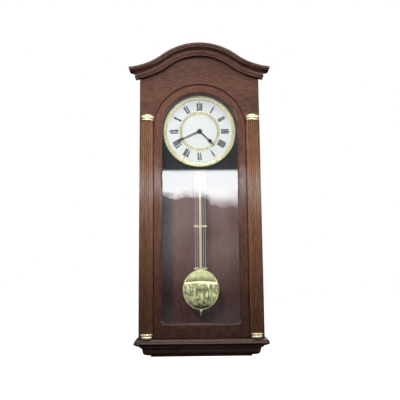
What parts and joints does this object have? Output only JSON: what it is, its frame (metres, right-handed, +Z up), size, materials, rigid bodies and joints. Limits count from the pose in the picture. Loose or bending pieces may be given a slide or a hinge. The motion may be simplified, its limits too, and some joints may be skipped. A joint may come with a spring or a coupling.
{
  "type": "pendulum wall clock",
  "caption": "Wall clock in a mahogany-finish case with an arched glazed door, fluted half columns, a bell-curved crown, a Roman dial and a gridiron pendulum driven by a battery movement.",
  "frame": {"origin": "the seat of the keyhole in the hanger plate, where the wall screw carries the clock, on the plane of the wall", "axes": "+Z up, +Y into the wall, so the dial and the door face -Y; +X to the right as seen from in front"},
  "size_m": [0.3608, 0.1664, 0.7933],
  "materials": {
    "mahogany": "red-brown mahogany finish under satin lacquer, grain along each board",
    "dark_mahogany": "dark stained wood, satin",
    "plywood": "unfinished plywood, matt",
    "polished_brass": "polished and lacquered",
    "dark_bronze": "brass darkened to a dull bronze",
    "plated_steel": "plated, lightly brushed",
    "black_board": "painted matt black",
    "black_paint": "satin black",
    "dial_white": "matt white with printed black Roman hours",
    "clear_glass": "clear float glass",
    "black_plastic": "moulded, fine matt",
    "white_plastic": "moulded, satin",
    "copper_wire": "enamelled copper winding",
    "cell_case": "printed metal can, plain"
  },
  "bodies": {
    "case": {"left_side_panel": "mahogany", "right_side_panel": "mahogany", "bottom_board": "dark_mahogany", "roof_board": "mahogany", "back_panel": "plywood", "hanging_rail": "plywood", "hanger_plate": "plated_steel", "frieze_board": "mahogany", "left_stile": "mahogany", "right_stile": "mahogany", "left_column": "mahogany", "right_column": "mahogany", "left_capital": "polished_brass", "right_capital": "polished_brass", "left_column_base": "polished_brass", "right_column_base": "polished_brass", "crown_moulding": "mahogany", "crown_return_left": "mahogany", "crown_return_right": "mahogany", "base_moulding": "mahogany", "base_return_left": "mahogany", "base_return_right": "mahogany", "base_plate": "dark_mahogany", "upper_hinge_case_leaf": "dark_bronze", "lower_hinge_case_leaf": "dark_bronze", "magnet_catch": "black_plastic", "dial_board": "black_board", "dial_plate": "dial_white", "dial_bezel": "polished_brass", "dial_centre_ring": "polished_brass", "dial_nut": "polished_brass", "movement_housing": "black_plastic", "movement_back_cover": "black_plastic", "battery_cell": "cell_case", "step_motor": "white_plastic", "drive_coil": "copper_wire", "pendulum_fork": "plated_steel"},
    "door": {"door_left_stile": "mahogany", "door_right_stile": "mahogany", "door_arch_rail": "mahogany", "door_bottom_rail": "mahogany", "door_glass": "clear_glass", "glass_retainer": "black_plastic", "upper_hinge_door_leaf": "dark_bronze", "lower_hinge_door_leaf": "dark_bronze", "strike_plate": "plated_steel"},
    "minute_hand": {"minute_hand": "black_paint", "hand_nut": "black_paint", "minute_arbor": "polished_brass"},
    "hour_hand": {"hour_hand": "black_paint", "hour_wheel": "polished_brass"},
    "minute_wheel": {"minute_wheel": "white_plastic", "setting_knob": "white_plastic"},
    "pendulum": {"pendulum_strip": "polished_brass", "pendulum_grid": "plated_steel"},
    "bob": {"bob_face": "polished_brass", "bob_back": "plated_steel"},
    "rating_nut": {"rating_nut": "polished_brass"},
    "access_panel": {"access_panel": "plywood"},
    "battery_cover": {"battery_cover": "black_plastic"}
  },
  "joints": [
    {"name": "door_hinge", "type": "hinge", "parent": "case", "child": "door", "pos_m": [0.1178, -0.1387, -0.37], "axis": [0, 0, 1], "range_deg": [0, 90]},
    {"name": "minute_turn", "type": "hinge", "parent": "case", "child": "minute_hand", "pos_m": [0, -0.11, -0.115], "axis": [0, 1, 0], "continuous": true},
    {"name": "hour_turn", "type": "hinge", "parent": "case", "child": "hour_hand", "pos_m": [0, -0.11, -0.115], "axis": [0, 1, 0], "continuous": true},
    {"name": "wheel_turn", "type": "hinge", "parent": "case", "child": "minute_wheel", "pos_m": [0, -0.095, -0.125], "axis": [0, 1, 0], "continuous": true},
    {"name": "pendulum_swing", "type": "hinge", "parent": "case", "child": "pendulum", "pos_m": [0, -0.0904, -0.178], "axis": [0, 1, 0], "range_deg": [-4, 4]},
    {"name": "bob_slide", "type": "slide", "parent": "pendulum", "child": "bob", "axis": [0, 0, 1], "range_m": [-0.0021, 0.0021]},
    {"name": "rating_nut_turn", "type": "hinge", "parent": "bob", "child": "rating_nut", "pos_m": [0, -0.0904, -0.5813], "axis": [0, 0, 1], "range_deg": [-1080, 1080]},
    {"name": "access_panel_slide", "type": "slide", "parent": "case", "child": "access_panel", "axis": [1, 0, 0], "range_m": [0, 0.07]},
    {"name": "battery_cover_slide", "type": "slide", "parent": "case", "child": "battery_cover", "axis": [0, 0, 1], "range_m": [0, 0.02]}
  ],
  "couplings": [
    {"joint": "hour_turn", "follows": "minute_turn", "ratio": 0.083333},
    {"joint": "wheel_turn", "follows": "minute_turn", "ratio": -0.33333},
    {"joint": "rating_nut_turn", "follows": "bob_slide", "rad_per_m": 8976}
  ]
}
